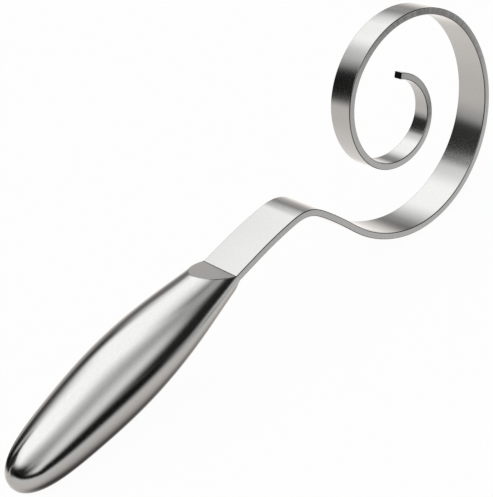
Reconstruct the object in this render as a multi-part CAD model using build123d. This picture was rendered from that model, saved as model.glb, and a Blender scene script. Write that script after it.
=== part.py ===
from build123d import *
from math import cos, radians, sin, sqrt
import os

# A dough whisk of stainless steel. One flat bar is bent into an open spiral that narrows
# to its tip, and its tang is held in a hollow handle of two pressed half shells.
# Lengths are in millimetres and angles in degrees. The pieces are drawn with the handle along
# X and the flat of the neck facing +Z, and are then tilted to stand as the whisk rests.

# Bar
bar_thickness = 2.8
bar_width = 20.6
bar_corner = 0.35
neck_length = 13.1
bow_radius = 153.0
bow_angle = 8.2
elbow_radius = 13.8
elbow_angle = 48.7
spiral_radius = 57.0
# Each stretch of the spiral: its radius as a share of spiral_radius, and the angle it turns.
spiral_radius_shares = (1.0, 0.833, 0.664, 0.529, 0.404, 0.309)
spiral_turns = (30.0, 140.0, 106.4, 76.2, 82.1, 134.0)
# The width at each joint between stretches, as a share of bar_width, from neck to tip.
bar_width_shares = (1.0, 0.986, 0.963, 0.95, 0.927, 0.894, 0.667, 0.554, 0.5, 0.452, 0.19)

# Tang, the end of the bar inside the handle
tang_width = 15.0
tang_length = 46.0
tang_corner = 3.0
tang_hole_diameter = 6.0
tang_hole_inset = 9.0

# Handle
handle_length = 113.2
grip_width = 31.5
grip_height = 29.6
mouth_height = 14.1
shell_wall = 1.2
facet_angle = 33.0
# Sections from the butt to the widest part: the place along the handle, then the width and
# height as shares of grip_width and grip_height.
butt_section_shares = (
    (0.0025, 0.123, 0.13),
    (0.01, 0.242, 0.257),
    (0.03, 0.403, 0.429),
    (0.07, 0.573, 0.609),
    (0.13, 0.707, 0.752),
    (0.2, 0.796, 0.845),
    (0.3, 0.876, 0.931),
    (0.4, 0.938, 0.991),
    (0.5, 0.983, 0.999),
)
# Sections from there to the mouth: the place along the handle, then how much of the step from
# the mouth's width and height to the grip's is there.
mouth_section_shares = (
    (0.6, 1.0, 0.903),
    (0.7, 0.932, 0.715),
    (0.8, 0.721, 0.468),
    (0.9, 0.38, 0.209),
    (1.0, 0.0, 0.0),
)

# Collar and pins that hold the tang
mouth_depth = 3.0
collar_length = 17.0
pin_diameter = 3.0
pin_inset = 5.0
pin_pitch = 7.0

# Cutting blocks reach this far past what they cut.
overrun = 5.0


def bar_path():
    """The bar's centre line, and the place and heading at each joint between stretches."""
    radii = [bow_radius, elbow_radius, bow_radius]
    radii += [spiral_radius * share for share in spiral_radius_shares]
    turns = [-bow_angle, -elbow_angle, -bow_angle] + list(spiral_turns)
    x, z, heading = neck_length, 0, 0
    edges = [Line((0, 0, 0), (x, 0, z)).edge()]
    joints = [(0, 0, 0), (x, z, heading)]
    for radius, turn in zip(radii, turns):
        side = radius if turn > 0 else -radius
        centre_x = x - side * sin(radians(heading))
        centre_z = z + side * cos(radians(heading))
        halfway = radians(heading + turn / 2)
        heading += turn
        middle = (centre_x + side * sin(halfway), 0, centre_z - side * cos(halfway))
        end = (centre_x + side * sin(radians(heading)), 0, centre_z - side * cos(radians(heading)))
        edges.append(ThreePointArc((x, 0, z), middle, end).edge())
        x, z = end[0], end[2]
        joints.append((x, z, heading))
    return edges, joints


def make_spiral(edges, joints):
    """Sweep the flat section, which narrows from joint to joint, along the path."""
    sections = []
    for (x, z, heading), share in zip(joints, bar_width_shares):
        direction = (cos(radians(heading)), 0, sin(radians(heading)))
        plane = Plane(origin=(x, 0, z), x_dir=(0, 1, 0), z_dir=direction)
        outline = RectangleRounded(bar_width * share, bar_thickness, bar_corner)
        sections.append((plane * outline).face())
    return sweep(sections, path=Wire(edges), multisection=True)


def make_tang():
    """The narrow end of the bar, with rounded back corners and a hole that keys the core."""
    plan = Pos(-tang_length / 2, 0) * Rectangle(tang_length, tang_width)
    plan = fillet(plan.vertices().group_by(Axis.X)[0], tang_corner)
    plan -= Pos(tang_hole_inset - tang_length, 0) * Circle(tang_hole_diameter / 2)
    return extrude(plan, bar_thickness / 2, both=True)


def make_handle_form(inset=0.0):
    """The handle's rounded form before the flats are cut, or the same form inset all round."""
    mouth_width = bar_width / sqrt(1 - (bar_thickness / mouth_height) ** 2)
    sizes = []
    for place, width_share, height_share in butt_section_shares:
        sizes.append((place, grip_width * width_share, grip_height * height_share))
    for place, width_share, height_share in mouth_section_shares:
        width = mouth_width + (grip_width - mouth_width) * width_share
        height = mouth_height + (grip_height - mouth_height) * height_share
        sizes.append((place, width, height))
    length = handle_length - inset
    sections = [Vertex(-length, 0, 0)]
    for place, width, height in sizes:
        # An inset form leaves out the sections that would pinch its rounded end.
        if place * length < 2 * inset:
            continue
        plane = Plane(origin=(length * (place - 1), 0, 0), x_dir=(0, 1, 0), z_dir=(1, 0, 0))
        sections.append((plane * Ellipse(width / 2 - inset, height / 2 - inset)).face())
    return loft(sections)


def cut_flats(form, inset=0.0):
    """Cut the two slanted flats, which meet the bar's faces at the mouth."""
    for side in (1, -1):
        normal = Vector(sin(radians(facet_angle)), 0, side * cos(radians(facet_angle)))
        start = Vector(0, 0, side * bar_thickness / 2) - normal * inset
        form = split(form, bisect_by=Plane(origin=start, z_dir=normal), keep=Keep.BOTTOM)
    return form


def slab(start, end, low, high):
    """A block across the handle between two places along it and two heights."""
    width = grip_width + 2 * overrun
    block = Box(end - start, width, high - low)
    return Pos((start + end) / 2, 0, (low + high) / 2) * block


def lowest(points, tilt):
    """Height of the lowest of some points in the XZ plane, once the head is raised by tilt."""
    return min(point.X * sin(radians(tilt)) + point.Z * cos(radians(tilt)) for point in points)


def resting_tilt(edges, body):
    """Angle at which the spiral and the handle's belly touch the table together."""
    steps = [step / 40 for step in range(41)]
    loop = []
    for edge in edges[1:]:
        for step in steps:
            away = Vector(0, 1, 0).cross(edge % step) * (bar_thickness / 2)
            loop += [edge @ step + away, edge @ step - away]
    profile = section(body, section_by=Plane.XZ)
    belly = [edge @ step for edge in profile.edges() for step in steps]
    low, high = 0.0, 45.0
    while high - low > 0.0001:
        tilt = (low + high) / 2
        if lowest(loop, tilt) < lowest(belly, tilt):
            low = tilt
        else:
            high = tilt
    return (low + high) / 2


# The bar: spiral and tang are one piece of steel.
edges, joints = bar_path()
tang = make_tang()
bar = make_spiral(edges, joints) + tang

# The two half shells meet in the plane of the bar, where they are welded and ground flush.
body = cut_flats(make_handle_form())
cavity = cut_flats(make_handle_form(shell_wall), shell_wall)
cavity &= slab(-handle_length, -mouth_depth, -grip_height, grip_height)
shells = body - cavity - tang
shell_upper = shells & slab(-handle_length - overrun, overrun, 0, grip_height)
shell_lower = shells & slab(-handle_length - overrun, overrun, -grip_height, 0)

# Two dowels run through the tang and the collar from shell to shell.
pins = []
for place in (-mouth_depth - pin_inset, -mouth_depth - pin_inset - pin_pitch):
    pin = Pos(place, 0, 0) * Cylinder(pin_diameter / 2, 2 * grip_height) & cavity
    pins.append(pin)
    bar -= pin

# The collar fills the mouth of the shells round the tang, and resin fills the rest.
collar_back = -mouth_depth - collar_length
collar = cavity & slab(collar_back, 0, -grip_height, grip_height)
collar = collar - tang - pins[0] - pins[1]
core = cavity & slab(-handle_length, collar_back, -grip_height, grip_height)
core -= tang

pieces = {
    "whisk_bar": bar,
    "handle_shell_upper": shell_upper,
    "handle_shell_lower": shell_lower,
    "tang_collar": collar,
    "tang_pin_front": pins[0],
    "tang_pin_rear": pins[1],
    "handle_core": core,
}

# Raise the head until the whisk rests, then put the middle of its footprint at the origin.
tilt = resting_tilt(edges, body)
pieces = {name: Rot(0, -tilt, 0) * piece for name, piece in pieces.items()}
box = Compound([solid for piece in pieces.values() for solid in piece.solids()]).bounding_box()
to_origin = Pos(-(box.min.X + box.max.X) / 2, 0, -box.min.Z)

os.makedirs("parts", exist_ok=True)
print("tilt", round(tilt, 3), "shift", round(-(box.min.X + box.max.X) / 2, 3), round(-box.min.Z, 3))
for name, piece in pieces.items():
    piece = to_origin * piece
    export_step(piece, f"parts/{name}.step")
    print(name, len(piece.solids()), "solid,", round(piece.volume, 1), "mm3")
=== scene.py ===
import bmesh
import bpy
import numpy as np
from math import cos, pi, radians, sin, sqrt
from mathutils import Matrix, Quaternion, Vector


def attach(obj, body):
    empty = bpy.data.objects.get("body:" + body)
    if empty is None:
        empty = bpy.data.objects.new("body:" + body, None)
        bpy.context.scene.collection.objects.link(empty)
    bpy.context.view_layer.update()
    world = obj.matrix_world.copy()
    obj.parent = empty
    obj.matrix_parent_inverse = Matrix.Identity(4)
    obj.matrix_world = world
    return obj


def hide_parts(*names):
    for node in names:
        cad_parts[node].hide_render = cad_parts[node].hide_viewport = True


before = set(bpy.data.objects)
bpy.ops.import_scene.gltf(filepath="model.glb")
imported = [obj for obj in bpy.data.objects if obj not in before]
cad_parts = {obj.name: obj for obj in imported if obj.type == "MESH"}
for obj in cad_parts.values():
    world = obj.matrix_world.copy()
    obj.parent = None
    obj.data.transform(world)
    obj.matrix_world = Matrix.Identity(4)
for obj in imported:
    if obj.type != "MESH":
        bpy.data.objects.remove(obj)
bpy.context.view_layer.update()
mm = 0.001

# Camera
# It looks down over the front of the whisk from the butt's side, through a medium telephoto lens,
# and is rolled so that the handle rises to the right.
camera_place = Vector((-240.8, -375.26, 308.73)) * mm
camera_aim = Vector((-8.456, -3.679, 39.423)) * mm
camera_roll = -15.83
camera = bpy.data.objects.new("camera", bpy.data.cameras.new("camera"))
bpy.context.scene.collection.objects.link(camera)
camera.data.sensor_fit = "HORIZONTAL"
camera.data.sensor_width = 36.0
camera.data.lens = 97.66
camera.location = camera_place
camera.rotation_mode = "QUATERNION"
looking = (camera_aim - camera_place).to_track_quat("-Z", "Y")
camera.rotation_quaternion = looking @ Quaternion((0, 0, 1), radians(camera_roll))
bpy.context.scene.camera = camera
bpy.context.scene.view_settings.view_transform = "Standard"

# Studio
# Polished steel is seen by what it mirrors, so the world is a small photographic studio: a large
# soft box overhead, a fill card by the camera, a pale table below, and black flags round the sides.
# The room is nearly dark where there is no card.
dark_room = 0.01
plain_white = "#FFFFFF"
table_white = "#FDFDFD"
warm_white = "#FFFAF7"
# The part of a direction along this says how far it looks away from the table, which is below and
# behind. Light is warm up to the first value, and plain white from the second.
off_table = (0.0, -0.6, 1.0)
warm_to, white_from = -0.4, -0.05
# Each row: name, azimuth from +Y towards +X, elevation and roll in degrees, half the width and half
# the height on the unit sphere, softness of the edge, and brightness. A later row covers an earlier.
cards = (
    ("ceiling", (-152, 53, -23), (1.07, 0.61), 0.08, 0.50),
    ("soft box", (-55, 63, -6), (0.49, 0.52), 0.31, 1.59),
    ("fill card", (171, 24, 33), (0.75, 0.23), 0.22, 1.04),
    ("pale table", (4, -67, 21), (1.30, 1.30), 0.15, 0.77),
    ("backdrop", (61, -30, -13), (0.91, 0.36), 0.22, 1.24),
    ("right flag", (92, 10, 0), (0.50, 0.45), 0.10, 0.02),
    ("window", (26, 57, -6), (0.33, 0.70), 0.19, 1.55),
    ("dim corner", (40, 19, -45), (0.30, 0.20), 0.05, 0.35),
    ("left flag", (-32, 21, -19), (0.19, 0.33), 0.05, 0.05),
    ("corner flag", (-58, 15, -6), (0.11, 0.12), 0.03, 0.02),
    ("side flag", (-91, 19, 2), (0.54, 0.22), 0.13, 0.02),
    ("front flag", (160, 19, -34), (0.30, 0.53), 0.15, 0.02),
    ("low front flag", (-178, -14, 0), (0.39, 0.18), 0.10, 0.01),
    ("rim flag", (157, -29, 36), (0.05, 0.04), 0.05, 0.01),
    ("shade under the whisk", (48, -81, -3), (0.36, 0.48), 0.33, 0.07),
    ("back flag", (-11, 5, 32), (0.37, 0.33), 0.09, 0.01),
    ("low side flag", (-121, -1, -25), (0.72, 0.12), 0.06, 0.00),
    ("low back flag", (-45, 26, 16), (0.07, 0.38), 0.09, 0.00),
    ("grey back wall", (7, 20, -4), (0.23, 0.26), 0.17, 0.07),
    ("pale back edge", (15, -6, 15), (0.31, 0.11), 0.12, 0.75),
    ("pale gap", (8, 6, 2), (0.15, 0.09), 0.15, 0.48),
)


def linear(hex_colour):
    """An sRGB hex colour as the linear RGBA that a shader takes."""
    shades = [int(hex_colour[i : i + 2], 16) / 255 for i in (1, 3, 5)]
    return [s / 12.92 if s <= 0.04045 else ((s + 0.055) / 1.055) ** 2.4 for s in shades] + [1.0]


def add_node(tree, kind, inputs=None, **settings):
    """Add a node, make its settings, and set its inputs or link them to the sockets given."""
    node = tree.nodes.new(kind)
    for name, value in settings.items():
        setattr(node, name, value)
    for name, value in (inputs or {}).items():
        if isinstance(value, bpy.types.NodeSocket):
            tree.links.new(value, node.inputs[name])
        else:
            node.inputs[name].default_value = value
    return node


def lay_card(tree, direction, light, name, place, half_size, soft, brightness):
    """The light from each direction once a soft-edged card is laid over what was there before."""
    azimuth, elevation, roll = place
    half_wide, half_high = half_size
    facing = {"Vector": direction, "Rotation": (radians(elevation), radians(roll), -radians(azimuth))}
    facing = add_node(tree, "ShaderNodeMapping", facing, vector_type="TEXTURE")
    aside = add_node(tree, "ShaderNodeVectorMath", {0: facing.outputs[0]}, operation="ABSOLUTE")
    full = (half_wide - soft, 0, half_high - soft)
    none = (half_wide + soft, 1, half_high + soft)
    faded = {6: aside.outputs[0], 7: full, 8: none, 9: (1, 1, 1), 10: (0, 0, 0)}
    faded = add_node(
        tree, "ShaderNodeMapRange", faded, data_type="FLOAT_VECTOR", interpolation_type="SMOOTHSTEP"
    )
    within = add_node(tree, "ShaderNodeSeparateXYZ", {0: faded.outputs["Vector"]})
    ahead = add_node(tree, "ShaderNodeSeparateXYZ", {0: facing.outputs[0]})
    front = {0: ahead.outputs["Y"], 1: -soft, 2: soft}
    front = add_node(tree, "ShaderNodeMapRange", front, interpolation_type="SMOOTHSTEP")
    area = {0: within.outputs["X"], 1: within.outputs["Z"]}
    area = add_node(tree, "ShaderNodeMath", area, operation="MULTIPLY")
    cover = {0: area.outputs[0], 1: front.outputs[0]}
    cover = add_node(tree, "ShaderNodeMath", cover, operation="MULTIPLY")
    laid = {0: cover.outputs[0], 2: light, 3: brightness}
    return add_node(tree, "ShaderNodeMix", laid, label=name).outputs[0]


studio = bpy.data.worlds.new("studio")
studio.use_nodes = True
bpy.context.scene.world = studio
tree = studio.node_tree
tree.nodes.clear()
direction = add_node(tree, "ShaderNodeTexCoord").outputs["Generated"]
light = dark_room
for card in cards:
    light = lay_card(tree, direction, light, *card)
# The table sends up slightly warmer light than the cards above and in front of the whisk.
away = add_node(tree, "ShaderNodeVectorMath", {0: direction, 1: off_table}, operation="DOT_PRODUCT")
rise = {0: away.outputs["Value"], 1: warm_to, 2: white_from}
rise = add_node(tree, "ShaderNodeMapRange", rise, interpolation_type="SMOOTHSTEP")
tone = {0: rise.outputs[0], 6: linear(warm_white), 7: linear(plain_white)}
tone = add_node(tree, "ShaderNodeMix", tone, data_type="RGBA")
lit = add_node(tree, "ShaderNodeBackground", {"Color": tone.outputs[2], "Strength": light})
# The camera itself sees the table's own white past its edge. Rays that bounce off the steel keep the
# studio, because plain white in it would wash out the dark bands that the black flags give.
white = add_node(tree, "ShaderNodeBackground", {"Color": linear(table_white), "Strength": 1.0})
path = add_node(tree, "ShaderNodeLightPath")
seen = {0: path.outputs["Is Camera Ray"], 1: lit.outputs[0], 2: white.outputs[0]}
seen = add_node(tree, "ShaderNodeMixShader", seen)
add_node(tree, "ShaderNodeOutputWorld", {0: seen.outputs[0]})

# Table
# A white laminate top that the whisk rests on. To the camera it is nearly all plain white, with a
# share of real shading left in for the soft shadow, and the steel mirrors the studio's pale table.
table_reach = 3.0
white_share = 0.96
laminate_colour = "#F4F4F2"
corners = [(x * table_reach, y * table_reach, 0) for x, y in ((-1, -1), (1, -1), (1, 1), (-1, 1))]
top = bpy.data.meshes.new("table")
top.from_pydata(corners, [], [(0, 1, 2, 3)])
table = bpy.data.objects.new("table", top)
bpy.context.scene.collection.objects.link(table)
laminate = bpy.data.materials.new("white_laminate")
laminate.use_nodes = True
tree = laminate.node_tree
shader = tree.nodes["Principled BSDF"]
shader.inputs["Base Color"].default_value = linear(laminate_colour)
shader.inputs["Roughness"].default_value = 0.8
shader.inputs["Specular IOR Level"].default_value = 0.0
path = add_node(tree, "ShaderNodeLightPath")
glow = add_node(tree, "ShaderNodeEmission", {"Color": linear(plain_white), "Strength": 1.0})
share = {0: path.outputs["Is Camera Ray"], 1: white_share}
share = add_node(tree, "ShaderNodeMath", share, operation="MULTIPLY")
mixed = {0: share.outputs[0], 1: shader.outputs[0], 2: glow.outputs[0]}
mixed = add_node(tree, "ShaderNodeMixShader", mixed)
tree.links.new(mixed.outputs[0], tree.nodes["Material Output"].inputs[0])
top.materials.append(laminate)
table.visible_glossy = False

# Whisk bar
# One flat bar of stainless steel, bent down at the elbow and coiled on itself, which narrows to a
# square-cut tip. It is rolled, bent cold and satin polished along its length, and its narrower tang
# runs back into the handle.
bar_thickness = 2.8 * mm
bar_width = 20.6 * mm
edge_break = 0.35 * mm
neck_length = 13.1 * mm
# Radius in millimetres and turn in degrees of each bend from the neck on. A turn down is negative.
bends = (
    (153.0, -8.2), (13.8, -48.7), (153.0, -8.2),
    (57.0, 30.0), (47.48, 140.0), (37.85, 106.4), (30.15, 76.2), (23.03, 82.1), (17.61, 134.0),
)
# The width at each joint between stretches, as a share of the neck's.
width_shares = (1.0, 0.986, 0.963, 0.95, 0.927, 0.894, 0.667, 0.554, 0.5, 0.452, 0.19)
tang_width = 15.0 * mm
tang_length = 46.0 * mm
tang_corner = 3.0 * mm
shoulder_in = 0.4 * mm
shoulder_step = 0.004 * mm
# Bending by hand over a former eases one radius into the next over about this length each way.
easing = 4.0 * mm
width_easing = 12.0 * mm
# The line is worked out at many places, and every third of them carries the bar.
line_places = 2401
places_apart = 3
corner_places = 7
edge_points = 5
rest_tilt = 14.007
# The handle's own frame, with the tang along -X and the neck's flat up, is set down as it rests.
mouth_middle = Vector((-19.877, 0, 34.646)) * mm
to_rest = Matrix.Translation(mouth_middle) @ Matrix.Rotation(radians(-rest_tilt), 4, "Y")


def running_mean(values, reach):
    """The mean over the given reach each way along the bar's line."""
    count = int(reach / path_step)
    padded = np.pad(values, count, mode="reflect", reflect_type="odd")
    return np.convolve(padded, np.ones(2 * count + 1) / (2 * count + 1), mode="valid")


def walk(headings):
    """The line in the XZ plane that starts at the mouth and has the given heading at each step."""
    middle = (headings[:-1] + headings[1:]) / 2
    steps = np.array([np.cos(middle), np.sin(middle)]) * path_step
    return np.concatenate([[[0.0], [0.0]], np.cumsum(steps, axis=1)], axis=1)


lengths = [neck_length] + [abs(radians(turn)) * radius * mm for radius, turn in bends]
joints = np.concatenate([[0.0], np.cumsum(lengths)])
headings = np.radians(np.concatenate([[0.0, 0.0], np.cumsum([turn for radius, turn in bends])]))
along = np.linspace(0.0, joints[-1], line_places)
path_step = along[1]
turned = np.interp(along, joints, headings)
arcs = walk(turned)
eased = walk(running_mean(turned, easing))
# Easing cuts each bend a little short, and the line is carried back out to the arcs' place, bit by
# bit over a longer stretch.
carrying_reach = 3 * easing
line_x, line_z = eased + np.array([running_mean(gap, carrying_reach) for gap in arcs - eased])
half_widths = np.interp(along, joints, np.array(width_shares) * bar_width / 2)
half_widths = running_mean(half_widths, width_easing)

# Each point: its place along and above the handle's line, and half the width there. The tang's back
# corners are round, and its shoulders are square.
points = []
for back in [*np.linspace(0, tang_corner, corner_places), tang_length - shoulder_in - shoulder_step]:
    rounding = sqrt(tang_corner ** 2 - (tang_corner - min(back, tang_corner)) ** 2)
    points.append((back - tang_length, 0.0, tang_width / 2 - tang_corner + rounding))
points.append((-shoulder_in, 0.0, bar_width / 2))
for i in [*range(0, line_places - 1, places_apart), line_places - 1]:
    points.append((line_x[i], line_z[i], half_widths[i]))
bar_length = sum(np.hypot(*np.diff([(x, z) for x, z, half_width in points], axis=0).T))

line = bpy.data.curves.new("bar_line", "CURVE")
line.dimensions = "3D"
spline = line.splines.new("POLY")
spline.points.add(len(points) - 1)
for point, (x, z, half_width) in zip(spline.points, points):
    point.co = (*(to_rest @ Vector((x, 0, z))), 1.0)
    point.radius = half_width / mm
bar = bpy.data.objects.new("bar_line", line)
bpy.context.scene.collection.objects.link(bar)


def bar_former(sizes):
    """A node group that sweeps the rounded section along the line, draws its sides in to the width
    there, and marks each point with its travel along the bar and its distance from the side."""
    former = bpy.data.node_groups.new("form_bar", "GeometryNodeTree")
    former.interface.new_socket("Geometry", in_out="INPUT", socket_type="NodeSocketGeometry")
    for name in sizes:
        former.interface.new_socket(name, in_out="INPUT", socket_type="NodeSocketFloat")
    former.interface.new_socket("Steel", in_out="INPUT", socket_type="NodeSocketMaterial")
    former.interface.new_socket("Geometry", in_out="OUTPUT", socket_type="NodeSocketGeometry")
    given = former.nodes.new("NodeGroupInput").outputs
    radius = add_node(former, "GeometryNodeInputRadius")
    half = {0: radius.outputs[0], 1: given["Radius unit"]}
    half = add_node(former, "ShaderNodeMath", half, operation="MULTIPLY")
    travel = add_node(former, "GeometryNodeSplineParameter")
    kept = former.nodes.new("GeometryNodeCaptureAttribute")
    for name, source in (("half width", half.outputs[0]), ("travel", travel.outputs["Length"])):
        kept.capture_items.new("FLOAT", name)
        former.links.new(source, kept.inputs[name])
    former.links.new(given["Geometry"], kept.inputs["Geometry"])
    outline = {"Width": given["Width"], "Height": given["Thickness"]}
    outline = add_node(former, "GeometryNodeCurvePrimitiveQuadrilateral", outline, mode="RECTANGLE")
    rounded = {"Curve": outline.outputs[0], "Count": edge_points, "Radius": given["Edge break"]}
    rounded = add_node(former, "GeometryNodeFilletCurve", rounded, mode="POLY")
    upright = {"Curve": kept.outputs["Geometry"], "Normal": (0, 1, 0)}
    upright = add_node(former, "GeometryNodeSetCurveNormal", upright, mode="FREE")
    swept = {
        "Curve": upright.outputs[0],
        "Profile Curve": rounded.outputs[0],
        "Scale": 1.0,
        "Fill Caps": True,
    }
    swept = add_node(former, "GeometryNodeCurveToMesh", swept)
    place = add_node(former, "GeometryNodeInputPosition")
    across = add_node(former, "ShaderNodeSeparateXYZ", {0: place.outputs[0]}).outputs["Y"]
    side = add_node(former, "ShaderNodeMath", {0: across}, operation="SIGN")
    full_half = add_node(former, "ShaderNodeMath", {0: given["Width"], 1: 0.5}, operation="MULTIPLY")
    spare = {0: kept.outputs["half width"], 1: full_half.outputs[0]}
    spare = add_node(former, "ShaderNodeMath", spare, operation="SUBTRACT")
    inward = {0: side.outputs[0], 1: spare.outputs[0]}
    inward = add_node(former, "ShaderNodeMath", inward, operation="MULTIPLY")
    inward = add_node(former, "ShaderNodeCombineXYZ", {"Y": inward.outputs[0]})
    narrowed = {"Geometry": swept.outputs[0], "Offset": inward.outputs[0]}
    narrowed = add_node(former, "GeometryNodeSetPosition", narrowed)
    chart = add_node(former, "ShaderNodeCombineXYZ", {"X": kept.outputs["travel"], "Y": across})
    charted = {"Geometry": narrowed.outputs[0], "Name": "UVMap", "Value": chart.outputs[0]}
    charted = add_node(
        former, "GeometryNodeStoreNamedAttribute", charted, data_type="FLOAT2", domain="CORNER"
    )
    off_middle = add_node(former, "ShaderNodeMath", {0: across}, operation="ABSOLUTE")
    from_side = {0: kept.outputs["half width"], 1: off_middle.outputs[0]}
    from_side = add_node(former, "ShaderNodeMath", from_side, operation="SUBTRACT")
    marked = {"Geometry": charted.outputs[0], "Name": "from_side", "Value": from_side.outputs[0]}
    marked = add_node(
        former, "GeometryNodeStoreNamedAttribute", marked, data_type="FLOAT", domain="POINT"
    )
    smooth = {"Geometry": marked.outputs[0], "Shade Smooth": True}
    smooth = add_node(former, "GeometryNodeSetShadeSmooth", smooth)
    real = add_node(former, "GeometryNodeRealizeInstances", {"Geometry": smooth.outputs[0]})
    dressed = {"Geometry": real.outputs[0], "Material": given["Steel"]}
    dressed = add_node(former, "GeometryNodeSetMaterial", dressed)
    former.links.new(dressed.outputs[0], former.nodes.new("NodeGroupOutput").inputs[0])
    return former


satin_colour = "#C8C8C6"
# Satin polishing lightens and darkens the steel along its scratches by this share.
satin_gleam_share = 0.04
# Most of the noise that stands for scratches lies between these two values.
scratch_low, scratch_high = 0.3, 0.7


def steel(name, colour):
    """A bare steel, whose node tree and shader are returned too."""
    material = bpy.data.materials.new(name)
    material.use_nodes = True
    shader = material.node_tree.nodes["Principled BSDF"]
    shader.inputs["Base Color"].default_value = linear(colour)
    shader.inputs["Metallic"].default_value = 1.0
    return material, material.node_tree, shader


def brush(tree, shader, place, grain, roughness, depth, gleam=0.0):
    """Fine scratches of the grain's length, breadth and height, which lie along X of the place
    given, vary the roughness from the first value to the second, and are cut to the depth. They
    lighten and darken the steel by the share gleam, and the socket with that colour is returned."""
    scaled = {"Vector": place, "Scale": [1 / size for size in grain]}
    scaled = add_node(tree, "ShaderNodeMapping", scaled)
    scratch = {"Vector": scaled.outputs[0], "Scale": 1.0, "Detail": 3.0, "Roughness": 0.6}
    scratch = add_node(tree, "ShaderNodeTexNoise", scratch)
    spread = {0: scratch.outputs[0], 1: scratch_low, 2: scratch_high}
    polish = {**spread, 3: roughness[0], 4: roughness[1]}
    polish = add_node(tree, "ShaderNodeMapRange", polish)
    cut = {"Height": scratch.outputs[0], "Strength": 1.0, "Distance": depth}
    cut = add_node(tree, "ShaderNodeBump", cut)
    tree.links.new(polish.outputs[0], shader.inputs["Roughness"])
    tree.links.new(cut.outputs[0], shader.inputs["Normal"])
    lustre = add_node(tree, "ShaderNodeMapRange", {**spread, 3: 1 - gleam, 4: 1 + gleam})
    tinted = {"Color": shader.inputs["Base Color"].default_value[:], "Value": lustre.outputs[0]}
    tinted = add_node(tree, "ShaderNodeHueSaturation", tinted)
    tree.links.new(tinted.outputs[0], shader.inputs["Base Color"])
    return tinted.outputs[0]


def satin_bar_steel():
    """The bar's finish, satin on its faces, with painted shade on its rounded edges and its tip."""
    # Cold-rolled 18/10 stainless, satin polished on a belt: near-mirror reflections, slightly
    # blurred, with a short grain along the bar. The real grain is under 0.1 mm and is drawn 0.5 mm
    # broad. The rounded edges carry a painted dark line for the dark they reflect, and the square-cut
    # tip's end face is painted dark for the dark flag it mirrors.
    # Colours of painted shade: a dark line along the rounded edges, and a dark end face on the tip.
    edge_shade_colour = "#6E6D6C"
    tip_shade_colour = "#232221"
    grain = (1.6 * mm, 0.5 * mm, 1.0 * mm)
    roughness = (0.11, 0.16)
    scratch_depth = 0.0001 * mm
    edge_shade_in, edge_shade_out = 0.7 * edge_break, 0.05 * edge_break
    tip_shade_depth, tip_shade_blend = 0.05 * mm, 0.01 * mm
    material, tree, shader = steel("satin_stainless_bar", satin_colour)
    chart = add_node(tree, "ShaderNodeUVMap", uv_map="UVMap").outputs[0]
    satin = brush(tree, shader, chart, grain, roughness, scratch_depth, satin_gleam_share)
    from_side = add_node(tree, "ShaderNodeAttribute", attribute_name="from_side").outputs["Fac"]
    # Painted shade: the middle of each rounded edge is darkened to stand in for the dark it reflects.
    start = {0: from_side, 1: edge_break, 2: edge_shade_in}
    start = add_node(tree, "ShaderNodeMapRange", start, interpolation_type="SMOOTHSTEP")
    stop = {0: from_side, 1: 0.0, 2: edge_shade_out}
    stop = add_node(tree, "ShaderNodeMapRange", stop, interpolation_type="SMOOTHSTEP")
    edge_shade = {0: start.outputs[0], 1: stop.outputs[0]}
    edge_shade = add_node(tree, "ShaderNodeMath", edge_shade, operation="MULTIPLY")
    edge_shaded = {0: edge_shade.outputs[0], 6: satin, 7: linear(edge_shade_colour)}
    edge_shaded = add_node(tree, "ShaderNodeMix", edge_shaded, data_type="RGBA")
    # Painted shade on the tip's end face, which stands in for the dark flag it mirrors.
    travel = add_node(tree, "ShaderNodeSeparateXYZ", {0: chart}).outputs["X"]
    tip = bar_length - tip_shade_depth
    tip_shade = add_node(tree, "ShaderNodeMapRange", {0: travel, 1: tip - tip_shade_blend, 2: tip + tip_shade_blend})
    tip_shaded = {0: tip_shade.outputs[0], 6: edge_shaded.outputs[2], 7: linear(tip_shade_colour)}
    tip_shaded = add_node(tree, "ShaderNodeMix", tip_shaded, data_type="RGBA")
    tree.links.new(tip_shaded.outputs[2], shader.inputs["Base Color"])
    return material


def as_plain_mesh(source, name):
    """A plain object with the mesh that a source's modifiers make, in place of the source."""
    evaluated = source.evaluated_get(bpy.context.evaluated_depsgraph_get())
    mesh = bpy.data.meshes.new_from_object(evaluated)
    bpy.data.objects.remove(source)
    mesh.name = name
    piece = bpy.data.objects.new(name, mesh)
    bpy.context.scene.collection.objects.link(piece)
    return piece


# Faces that meet at a sharper turn than this keep a crisp edge between them.
crisp_turn = radians(40)


def shade_flats(piece):
    """The piece with normals weighted by face, so that flats shade flat up to their rounded edges."""
    piece.data.set_sharp_from_angle(angle=crisp_turn)
    piece.modifiers.new("weighting", "WEIGHTED_NORMAL").keep_sharp = True
    return as_plain_mesh(piece, piece.name)


sizes = {"Width": bar_width, "Thickness": bar_thickness, "Edge break": edge_break, "Radius unit": mm}
former = bar_former(sizes)
modifier = bar.modifiers.new("form_bar", "NODES")
modifier.node_group = former
for name, size in sizes.items():
    modifier[former.interface.items_tree[name].identifier] = size
modifier[former.interface.items_tree["Steel"].identifier] = satin_bar_steel()
bar = shade_flats(as_plain_mesh(bar, "coiled_bar"))
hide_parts("whisk_bar")
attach(bar, "root")

# Tang collar and pins
# A milled steel block fills the mouth of the handle round the tang, and two ground dowels run
# through both. All three are hidden once the shells are welded, and are left as machined.


def level_place(tree, turn=0.0):
    """Places on a resting piece, levelled so that X lies along the handle, then turned about Z."""
    place = add_node(tree, "ShaderNodeTexCoord").outputs["Object"]
    level = {"Vector": place, "Rotation": (0, radians(rest_tilt), turn)}
    return add_node(tree, "ShaderNodeMapping", level).outputs[0]


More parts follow.
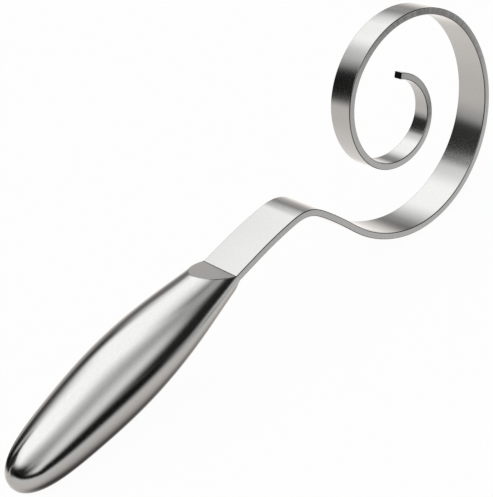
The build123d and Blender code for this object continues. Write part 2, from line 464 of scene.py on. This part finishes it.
def milled_collar_steel():
    """The collar's finish, with straight marks across the block where it was milled."""
    grain = (8.0 * mm, 0.4 * mm, 0.4 * mm)
    roughness = (0.28, 0.42)
    scratch_depth = 0.004 * mm
    material, tree, shader = steel("milled_steel_collar", "#B9B9B7")
    brush(tree, shader, level_place(tree, pi / 2), grain, roughness, scratch_depth)
    return material


def ground_pin_steel():
    """The dowels' finish, with fine rings round them where they were ground."""
    grain = (3.0 * mm, 3.0 * mm, 0.2 * mm)
    roughness = (0.16, 0.26)
    scratch_depth = 0.002 * mm
    material, tree, shader = steel("ground_steel_dowel", "#C2C2C0")
    brush(tree, shader, level_place(tree), grain, roughness, scratch_depth)
    return material


def dress(name, material):
    """Put the material on a hidden piece, which is shown by its CAD solid."""
    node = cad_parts[name]
    node.data.materials.clear()
    node.data.materials.append(material)


dress("tang_collar", milled_collar_steel())
pin_steel = ground_pin_steel()
for name in ("tang_pin_front", "tang_pin_rear"):
    dress(name, pin_steel)

# Resin core
# Filled epoxy, poured into the closed handle and left as it set. It keys through the tang's hole
# and gives the handle its weight. The filler shows as fine pale grains in a dull grey ground.


def cast_resin():
    """The core's finish, speckled and finely pitted."""
    ground_colour = "#8F8D88"
    filler_colour = "#ABA9A4"
    grain_size = 0.8 * mm
    pit_depth = 0.05 * mm
    resin = bpy.data.materials.new("cast_epoxy_filler")
    resin.use_nodes = True
    tree = resin.node_tree
    shader = tree.nodes["Principled BSDF"]
    place = add_node(tree, "ShaderNodeTexCoord").outputs["Object"]
    grains = {"Vector": place, "Scale": 1 / grain_size, "Detail": 2.0}
    grains = add_node(tree, "ShaderNodeTexNoise", grains)
    speckled = {0: grains.outputs[0], 6: linear(ground_colour), 7: linear(filler_colour)}
    speckled = add_node(tree, "ShaderNodeMix", speckled, data_type="RGBA")
    pits = {"Height": grains.outputs[0], "Strength": 0.6, "Distance": pit_depth}
    pits = add_node(tree, "ShaderNodeBump", pits)
    tree.links.new(speckled.outputs[2], shader.inputs["Base Color"])
    shader.inputs["Roughness"].default_value = 0.6
    tree.links.new(pits.outputs[0], shader.inputs["Normal"])
    return resin


dress("handle_core", cast_resin())

# Handle shells
# Two half shells pressed from stainless sheet meet edge to edge in the plane of the bar. They are
# welded there, ground flush so that no seam shows, and satin polished over all with the two
# slanted flats at the mouth, where a slot takes the tang.
handle_length = 113.2 * mm
grip_width = 31.5 * mm
grip_height = 29.6 * mm
mouth_height = 14.1 * mm
mouth_depth = 3.0 * mm
shell_wall = 1.2 * mm
flat_rim = 0.25 * mm
# The painted shadow line in the joint at the mouth is this wide.
joint_shadow_width = 0.6 * mm
slot_overrun = 1.0 * mm
facet_angle = 33.0
# The place along the handle from the butt, then the width and height as shares of the grip's.
butt_shares = (
    (0.0, 0.0, 0.0), (0.0025, 0.123, 0.13), (0.01, 0.242, 0.257), (0.03, 0.403, 0.429),
    (0.07, 0.573, 0.609), (0.13, 0.707, 0.752), (0.2, 0.796, 0.845), (0.3, 0.876, 0.931),
    (0.4, 0.938, 0.991), (0.5, 0.983, 0.999),
)
# From there to the mouth: the place, then the share of the step from the mouth's size to the grip's.
mouth_shares = (
    (0.6, 1.0, 0.903), (0.7, 0.932, 0.715), (0.8, 0.721, 0.468), (0.9, 0.38, 0.209), (1.0, 0.0, 0.0),
)
# How many rings and sides the outside and the inner wall are drawn with.
skin_rings, skin_sides = 150, 128
wall_rings, wall_sides = 60, 48
# The rings lie closer together towards the butt. This share of their spacing grows evenly from it.
bunching_share = 0.35
rim_steps = 3
# A cut takes points nearer than this as lying on its plane.
touching = 0.0001 * mm
# The ground halves take their normals from no further off than this.
normal_reach = 0.01 * mm
mouth_width = bar_width / sqrt(1 - (bar_thickness / mouth_height) ** 2)
stations = [(place, grip_width * w, grip_height * h) for place, w, h in butt_shares]
for place, w, h in mouth_shares:
    width = mouth_width + (grip_width - mouth_width) * w
    height = mouth_height + (grip_height - mouth_height) * h
    stations.append((place, width, height))


def smooth_through(knots, values, wanted):
    """A natural cubic spline through the values at the knots, read at the wanted places."""
    gaps = np.diff(knots)
    slopes = np.diff(values) / gaps
    system = np.eye(len(knots))
    right = np.zeros(len(knots))
    for i in range(1, len(knots) - 1):
        system[i, i - 1 : i + 2] = gaps[i - 1], 2 * (gaps[i - 1] + gaps[i]), gaps[i]
        right[i] = 6 * (slopes[i] - slopes[i - 1])
    bend = np.linalg.solve(system, right)
    i = np.clip(np.searchsorted(knots, wanted) - 1, 0, len(gaps) - 1)
    low, high = wanted - knots[i], knots[i + 1] - wanted
    curved = (bend[i] * high ** 3 + bend[i + 1] * low ** 3) / (6 * gaps[i])
    from_low = (values[i] / gaps[i] - bend[i] * gaps[i] / 6) * high
    from_high = (values[i + 1] / gaps[i] - bend[i + 1] * gaps[i] / 6) * low
    return curved + from_low + from_high


def pressed_form(inset, rings, around):
    """The handle's closed form with its flats cut, inset all round, in the handle's frame."""
    # The rounded butt is smooth in the root of the distance from its end, so that is what is splined.
    length = handle_length - inset
    roots = np.sqrt([place for place, width, height in stations])
    spread = np.linspace(0, 1, rings + 1)[1:]
    places = bunching_share * spread ** 2 + (1 - bunching_share) * spread
    # An inset form leaves out the rings that would pinch its rounded end.
    places = places[places * length >= 2 * inset]
    half_y = smooth_through(roots, np.array([s[1] for s in stations]) / 2, np.sqrt(places)) - inset
    half_z = smooth_through(roots, np.array([s[2] for s in stations]) / 2, np.sqrt(places)) - inset
    form = bmesh.new()
    butt = form.verts.new((-length, 0, 0))
    loops = []
    for place, y, z in zip(places, half_y, half_z):
        angles = [2 * pi * k / around for k in range(around)]
        loops.append([form.verts.new((length * (place - 1), y * cos(a), z * sin(a))) for a in angles])
    for k in range(around):
        form.faces.new((butt, loops[0][(k + 1) % around], loops[0][k]))
    for low, high in zip(loops, loops[1:]):
        for k in range(around):
            after = (k + 1) % around
            form.faces.new((low[k], low[after], high[after], high[k]))
    form.faces.new(loops[-1])
    for up in (1, -1):
        normal = Vector((sin(radians(facet_angle)), 0, up * cos(radians(facet_angle))))
        cut_off(form, Vector((0, 0, up * bar_thickness / 2)) - normal * inset, normal)
    bmesh.ops.recalc_face_normals(form, faces=form.faces[:])
    return form


def cut_off(form, place, normal, close=True):
    """Cut away what lies past a plane, and close the cut with a flat face if asked to."""
    parts = form.verts[:] + form.edges[:] + form.faces[:]
    cut = bmesh.ops.bisect_plane(
        form, geom=parts, dist=touching, plane_co=place, plane_no=normal, clear_outer=True
    )
    rim = [part for part in cut["geom_cut"] if isinstance(part, bmesh.types.BMEdge)]
    if close:
        bmesh.ops.contextual_create(form, geom=rim)


def as_object(form, name):
    """A new object with the form's mesh, smooth and set down as the whisk rests."""
    for face in form.faces:
        face.smooth = True
    form.transform(to_rest)
    mesh = bpy.data.meshes.new(name)
    form.to_mesh(mesh)
    form.free()
    made = bpy.data.objects.new(name, mesh)
    bpy.context.scene.collection.objects.link(made)
    return made


def ground_skin():
    """The outside of the handle, with the rims of its flats slightly rounded by the polishing."""
    form = pressed_form(0.0, skin_rings, skin_sides)
    # A flat has many sides, and neither it nor the skin beside its rim faces along the handle.
    many_sides = 20
    end_on = 0.9
    leaning = [face for face in form.faces if abs(face.normal.x) < end_on]
    flats = [face for face in leaning if len(face.verts) > many_sides]
    rims = [edge for edge in form.edges if sum(face in flats for face in edge.link_faces) == 1]
    rims = [edge for edge in rims if all(abs(face.normal.x) < end_on for face in edge.link_faces)]
    bmesh.ops.bevel(
        form, geom=rims, offset=flat_rim, segments=rim_steps, profile=0.5, affect="EDGES"
    )
    return form


def satin_shell_steel():
    """The shells' finish, satin all over, with a painted shadow line where the flats meet the bar."""
    # Pressed 18/10 stainless, ground and satin polished along the handle: the bar's colour, a touch
    # smoother, with a faint short grain drawn 0.5 mm broad, which is coarser than the real one.
    # Colour of the painted shadow in the gap where the flats meet the bar.
    joint_shadow_colour = "#4A4947"
    grain = (1.2 * mm, 0.5 * mm, 0.5 * mm)
    roughness = (0.11, 0.15)
    scratch_depth = 0.0002 * mm
    shadow_from, shadow_full = 0.47 * bar_thickness, 0.49 * bar_thickness
    material, tree, shader = steel("satin_stainless_shell", satin_colour)
    place = level_place(tree)
    satin = brush(tree, shader, place, grain, roughness, scratch_depth, satin_gleam_share)
    place = add_node(tree, "ShaderNodeSeparateXYZ", {0: place})
    mouth = Matrix.Rotation(radians(rest_tilt), 3, "Y") @ mouth_middle
    ahead = {0: place.outputs["X"], 1: mouth.x - joint_shadow_width, 2: mouth.x - joint_shadow_width / 2}
    ahead = add_node(tree, "ShaderNodeMapRange", ahead, interpolation_type="SMOOTHSTEP")
    off_middle = {0: place.outputs["Z"], 1: mouth.z}
    off_middle = add_node(tree, "ShaderNodeMath", off_middle, operation="SUBTRACT")
    off_middle = add_node(tree, "ShaderNodeMath", {0: off_middle.outputs[0]}, operation="ABSOLUTE")
    # The painted shadow line keeps to the flats, and fades out just inside the height of the bar's
    # faces.
    outside = {0: off_middle.outputs[0], 1: shadow_from, 2: shadow_full}
    outside = add_node(tree, "ShaderNodeMapRange", outside)
    joint_shadow = {0: ahead.outputs[0], 1: outside.outputs[0]}
    joint_shadow = add_node(tree, "ShaderNodeMath", joint_shadow, operation="MULTIPLY")
    shaded = {0: joint_shadow.outputs[0], 6: satin, 7: linear(joint_shadow_colour)}
    shaded = add_node(tree, "ShaderNodeMix", shaded, data_type="RGBA")
    tree.links.new(shaded.outputs[2], shader.inputs["Base Color"])
    return material


shell_steel = satin_shell_steel()
whole = shade_flats(as_object(ground_skin(), "whole_skin"))
slot = bmesh.new()
slot_size = Matrix.Diagonal((2 * (mouth_depth + slot_overrun), tang_width, bar_thickness, 1))
bmesh.ops.create_cube(slot, size=1.0, matrix=slot_size)
slot = as_object(slot, "tang_slot")
for up, side in ((1, "upper"), (-1, "lower")):
    half_shell = ground_skin()
    split = Vector((0, 0, -up))
    cut_off(half_shell, Vector(), split, close=False)
    hollow = pressed_form(shell_wall, wall_rings, wall_sides)
    cut_off(hollow, Vector((-mouth_depth, 0, 0)), Vector((1, 0, 0)))
    cut_off(hollow, Vector(), split, close=False)
    bmesh.ops.reverse_faces(hollow, faces=hollow.faces[:])
    inner_wall = bpy.data.meshes.new("inner_wall")
    hollow.to_mesh(inner_wall)
    hollow.free()
    half_shell.from_mesh(inner_wall)
    weld_edges = [edge for edge in half_shell.edges if edge.is_boundary]
    bmesh.ops.triangle_fill(half_shell, edges=weld_edges, use_beauty=True, normal=split)
    half_shell = as_object(half_shell, f"half_shell_{side}")
    half_shell.data.materials.append(shell_steel)
    half_shell.data.set_sharp_from_angle(angle=crisp_turn)
    opening = half_shell.modifiers.new("tang slot", "BOOLEAN")
    opening.object = slot
    opening.solver = "EXACT"
    # Ground as one, the two halves share the whole form's smooth normals up to the weld.
    grinding = half_shell.modifiers.new("ground flush", "DATA_TRANSFER")
    grinding.object = whole
    grinding.use_loop_data = True
    grinding.data_types_loops = {"CUSTOM_NORMAL"}
    grinding.loop_mapping = "NEAREST_POLYNOR"
    grinding.use_max_distance = True
    grinding.max_distance = normal_reach
    half_shell = as_plain_mesh(half_shell, f"half_shell_{side}")
    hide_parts(f"handle_shell_{side}")
    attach(half_shell, "root")
bpy.data.objects.remove(slot)
bpy.data.objects.remove(whole)
